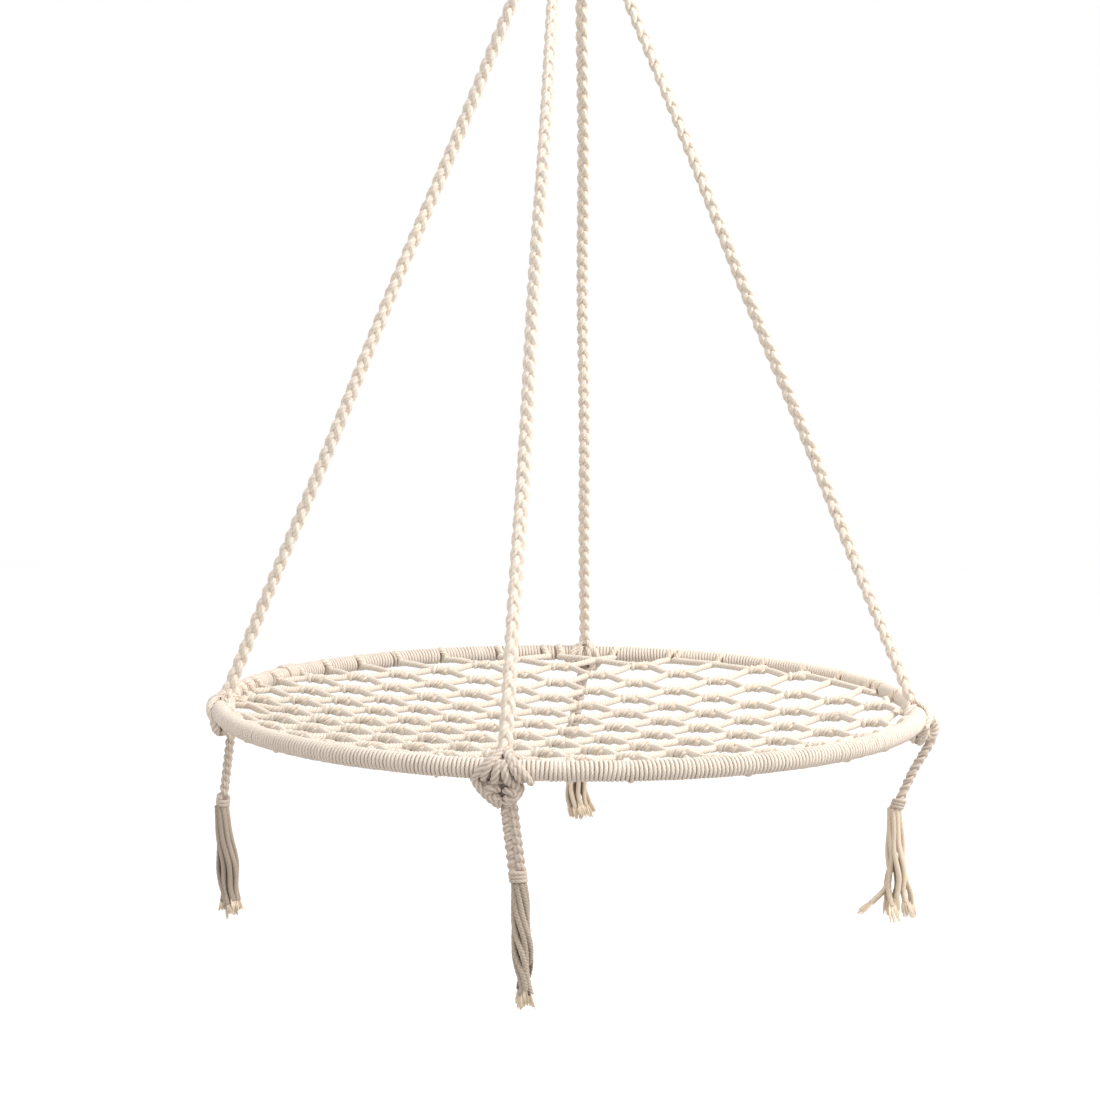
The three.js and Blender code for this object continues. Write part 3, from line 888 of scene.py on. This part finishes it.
def make_fringe(name):
    """Eight loose cords below the whipping, wandering round each other, with frayed ends.
    One cord of the right fringe strays from the rest."""
    hinge = np.array(JOINT[f"fringe_{name}_swing"]["pos_m"])
    drop = unit([FRINGE_LEAN[name], 0, -FRINGE_LENGTH])
    flat = unit(np.cross(drop, [0, 1, 0]))
    deep = np.cross(drop, flat)
    spread = FRINGE_SPREAD[name]
    corner = 2 * np.pi * np.arange(FRINGE_SIDES) / FRINGE_SIDES
    # Painted shade: each fringe cord is darker on one flank.
    painted_flank_light = SHADED_FLANK_LIGHT[name] + (1 - SHADED_FLANK_LIGHT[name]) * np.clip(np.cos(corner) + 0.25, 0, 1) ** 0.6
    fray = Yarn()
    for k in range(FRINGE_COUNT):
        round_place = 2 * math.pi * (k + 0.5) / FRINGE_COUNT
        reach = FRINGE_LENGTH * FRINGE_REACH[name] * (1 - random.uniform(0.02, 0.12)) - FRAY[name]
        stray = (name, k) == STRAY
        wide = spread * random.uniform(0.75, 1.0) * (1.8 if stray else 1.0)
        thick = spread * random.uniform(0.4, 0.8)
        wander = random.uniform(0, 6)
        points = []
        for t in np.linspace(0, 1, 9):
            part = t ** (6.0 if stray else FRINGE_FLARE[name])
            bulge = 0.0022 * math.sin(math.pi * t)
            sway = 0.0034 * math.sin(10 * t + wander) * t
            swerve = 0.0030 * math.cos(9 * t + wander) * t
            place = round_place + FRINGE_TWIST[name] * t
            out_wide = FRINGE_ROOT[0] + bulge + (wide - FRINGE_ROOT[0]) * part
            out_deep = FRINGE_ROOT[1] + bulge + (thick - FRINGE_ROOT[1]) * part
            spot = hinge + drop * (-0.007 + (reach + 0.007) * t)
            spot = spot + flat * (math.cos(place) * out_wide + sway)
            points.append(spot + deep * (math.sin(place) * out_deep + swerve))
        line = smooth(points, 0.0018)
        yarn = Yarn()
        slack = np.linspace(1, 1.12, len(line))
        t = np.linspace(0, 1, len(line))
        place = round_place + FRINGE_TWIST[name] * t
        facing = np.outer(np.cos(place), flat) + np.outer(np.sin(place), deep)
        # Each cord's tone differs a little at random, and its flank is painted in shade.
        painted_light = random.uniform(0.8, 1.0) * np.broadcast_to(painted_flank_light, (len(line), FRINGE_SIDES))
        yarn.sweep(line, FRINGE_CORD * slack, facing=facing, sides=FRINGE_SIDES, plies=3, groove=0.10,
                   lay=0.022, painted_light=painted_light)
        way = unit(line[-1] - line[-6])
        fan = unit([random.gauss(0, 1), random.gauss(0, 0.4), 0])
        for _ in range(FIBRES):
            aside = fan * random.uniform(-1, 1) * FAN[name]
            aside = aside + np.array([0, random.uniform(-0.0028, 0.0028), 0])
            root = line[-random.randint(2, 4)] + aside * 0.34
            tip = line[-1] + way * FRAY[name] * random.uniform(0.8, 1.5) + aside
            fibre = smooth([root, (root + tip) / 2 + aside * 0.15, tip], 0.0030)
            fray.sweep(fibre, np.linspace(0.0012, 0.0005, len(fibre)), sides=5, painted_light=1.0)
        made = yarn.piece(f"fringe_{name}_{k + 1}", FRINGE_LOOK[name], f"fringe_{name}",
                          [f"fringe_{name}"] if k == 0 else ())
    fray.piece(f"fray_{name}", FRAYED_COTTON, f"fringe_{name}")


# ---- rope top, ring and carabiner ----

def make_rope_top():
    """The plaited bights over the ring and the cord wound round their legs."""
    low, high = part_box("rope_bight_left")
    wire_z = (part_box("hanging_ring")[0].z + 0.004)
    for side, name in ((-1, "left"), (1, "right")):
        x = 0.0076 * side
        low_z = low.z
        points = [(0.011 * side, -0.010, low_z - 0.006), (0.011 * side, -0.010, low_z + 0.008),
                  (x, -0.013, wire_z - 0.006)]
        for i in range(7):
            a = math.pi * (1 - i / 6)
            points.append((x, 0.013 * math.cos(a), wire_z + 0.013 * math.sin(a)))
        points += [(x, 0.013, wire_z - 0.006), (0.011 * side, 0.010, low_z + 0.008),
                   (0.011 * side, 0.010, low_z - 0.006)]
        line = smooth(points, 0.0016)
        yarn = Yarn()
        plait(yarn, line, RIGHT, (0.0030, 0.0018), (0.0034, 0.0026), 0.034, lobes=3)
        yarn.piece(f"bight_plait_{name}", BRAID_COTTON, "rope_top", [f"rope_bight_{name}"])

    low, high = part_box("gathering_wrap")
    height = high.z - low.z
    cord = 0.0026
    turns = int(height / (2 * cord)) - 1
    a = np.linspace(0, 2 * np.pi * turns, turns * 40)
    share = a / a[-1]
    radius = 0.0300 - cord - 0.0012 * np.abs(2 * share - 1) ** 4
    ring = np.stack([np.cos(a), np.sin(a), np.zeros_like(a)], -1) * radius[:, None]
    line = ring + np.outer(low.z + cord + (height - 2 * cord) * share, UP)
    yarn = Yarn()
    yarn.sweep(line, cord, facing=ring, sides=9, plies=3, groove=0.12, lay=0.015)
    # The core inside the wound cord is painted half in shade.
    core = spaced(np.array([[0, 0, high.z - 0.001], [0, 0, low.z + 0.001]]), 0.004)
    yarn.sweep(core, 0.0262, deep=0.0262, facing=RIGHT, sides=32, plies=8, groove=0.1, lay=0.4, painted_light=0.5)
    yarn.piece("gathering_cord", WRAP_COTTON, "rope_top", ["gathering_wrap"])


def only(made):
    """Selects one object and makes it the one that operators act on."""
    bpy.ops.object.select_all(action="DESELECT")
    made.select_set(True)
    bpy.context.view_layer.objects.active = made


def make_ring():
    """The welded steel ring, with its weld bead."""
    low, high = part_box("hanging_ring")
    middle = (low + high) / 2
    wire = (high.y - low.y) / 2
    bpy.ops.object.select_all(action="DESELECT")
    bpy.ops.mesh.primitive_torus_add(
        location=middle, rotation=(math.pi / 2, 0, 0), major_segments=128, minor_segments=24,
        major_radius=(high.x - low.x) / 2 - wire, minor_radius=wire)
    ring = bpy.context.object
    ring.name = "steel_ring"
    bpy.ops.object.transform_apply(location=True, rotation=True, scale=True)
    for vertex in ring.data.vertices:
        offset = vertex.co - middle
        bend = math.atan2(offset.x, -offset.z)
        hub = middle + Vector((math.sin(bend), 0, -math.cos(bend))) * ((high.x - low.x) / 2 - wire)
        bead = 0.09 * math.exp(-(((bend - 1.9) * 42 / 2.2) ** 2))
        vertex.co = hub + (vertex.co - hub) * (1 + bead)
    finish_metal(ring, "ring", "hanging_ring")


def finish_metal(made, body, node):
    made.data.name = made.name
    for polygon in made.data.polygons:
        polygon.use_smooth = True
    made.data.materials.clear()
    made.data.materials.append(ZINC)
    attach(made, body)
    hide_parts(node)


def make_carabiner():
    """A bent wire link, spun and extruded from a round section, and its sprung gate."""
    low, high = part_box("carabiner_body")
    wire = 0.004
    half = (high.y - low.y) / 2 - wire
    top_z, bottom_z = high.z - wire - half, low.z + wire + half
    foot_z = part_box("carabiner_gate")[0].z - 0.001
    bpy.ops.object.select_all(action="DESELECT")
    bpy.ops.mesh.primitive_circle_add(
        vertices=24, radius=wire, fill_type="NGON", location=(0, half, foot_z))
    link = bpy.context.object
    link.name = "link_wire"
    bpy.ops.object.transform_apply(location=True, rotation=True, scale=True)
    bpy.ops.object.mode_set(mode="EDIT")
    bpy.ops.mesh.select_all(action="SELECT")

    def run(distance):
        bpy.ops.mesh.extrude_region_move(TRANSFORM_OT_translate={"value": (0, 0, distance)})

    def bend(z):
        bpy.ops.mesh.spin(steps=28, angle=math.pi, center=(0, 0, z), axis=(1, 0, 0))

    run(bottom_z - foot_z)
    bend(bottom_z)
    run(top_z - bottom_z)
    bend(top_z)
    run(-0.003)
    bpy.ops.mesh.select_all(action="SELECT")
    bpy.ops.mesh.remove_doubles(threshold=1e-6)
    bpy.ops.mesh.normals_make_consistent(inside=False)
    bpy.ops.object.mode_set(mode="OBJECT")
    finish_metal(link, "hanger", "carabiner_body")
    bpy.ops.object.select_all(action="DESELECT")
    only(link)
    bpy.ops.object.shade_smooth_by_angle(angle=math.radians(40))

    low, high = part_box("carabiner_gate")
    bpy.ops.object.select_all(action="DESELECT")
    bpy.ops.mesh.primitive_cylinder_add(
        vertices=24, radius=(high.x - low.x) / 2, depth=high.z - low.z, location=(low + high) / 2)
    gate = bpy.context.object
    gate.name = "gate_sleeve"
    bpy.ops.object.transform_apply(location=True, rotation=True, scale=True)
    bevel = gate.modifiers.new("round_ends", "BEVEL")
    bevel.width, bevel.segments, bevel.limit_method = 0.0022, 4, "ANGLE"
    only(gate)
    bpy.ops.object.modifier_apply(modifier="round_ends")
    finish_metal(gate, "gate", "carabiner_gate")
    only(gate)
    bpy.ops.object.shade_smooth_by_angle(angle=math.radians(50))


# ---- floor and light ----

def make_stage():
    """A wide sheet of white paper below the swing. It looks white, and gives back less light than
    that, so the swing's underside stays in shade."""
    floor_z = HOOP_CENTRE[2] - 0.62
    bpy.ops.object.select_all(action="DESELECT")
    bpy.ops.mesh.primitive_plane_add(size=16, location=(0, 0, floor_z))
    floor = bpy.context.object
    floor.name = "floor"
    bpy.ops.object.transform_apply(location=True, rotation=True, scale=True)
    shader = Shader("floor_paper", roughness=0.95)
    place = shader.node("ShaderNodeTexCoord").outputs["Object"]
    grain = shader.noise(place, 3.0, 2.0)
    paper = shader.mix(grain, (0.97, 0.97, 0.97, 1), (0.99, 0.99, 0.99, 1))
    seen = shader.node("ShaderNodeLightPath").outputs["Is Camera Ray"]
    shader.feed("Base Color", shader.mix(seen, (0.50, 0.48, 0.46, 1), paper))
    floor.data.materials.append(shader.material)


def add_area(name, place, aim, size, power, colour=(1, 1, 1)):
    data = bpy.data.lights.new(name, "AREA")
    data.shape, data.size, data.energy, data.color = "DISK", size, power, colour
    lamp = bpy.data.objects.new(name, data)
    lamp.location = place
    lamp.rotation_mode = "QUATERNION"
    lamp.rotation_quaternion = (Vector(aim) - Vector(place)).to_track_quat("-Z", "Y")
    bpy.context.scene.collection.objects.link(lamp)


def light_stage():
    """A white room all round, and one large lamp high on the right."""
    world = bpy.data.worlds.new("white_room")
    world.use_nodes = True
    sky = world.node_tree.nodes["Background"]
    sky.inputs["Color"].default_value = (1.0, 1.0, 1.0, 1)
    sky.inputs["Strength"].default_value = 1.0
    bpy.context.scene.world = world
    seat = Vector(HOOP_CENTRE)
    add_area("key", seat + Vector((2.6, -0.9, 2.4)), seat, 1.2, 100, (1.0, 0.985, 0.965))
    bpy.context.scene.view_settings.view_transform = "Standard"


# ---- making ----

random.seed(7)
make_hoop()
make_net()
for name in SIDE:
    make_suspension_braid(name)
    make_hoop_knot(name)
    make_tail(name)
    make_fringe(name)
make_rope_top()
make_ring()
make_carabiner()
make_stage()
light_stage()
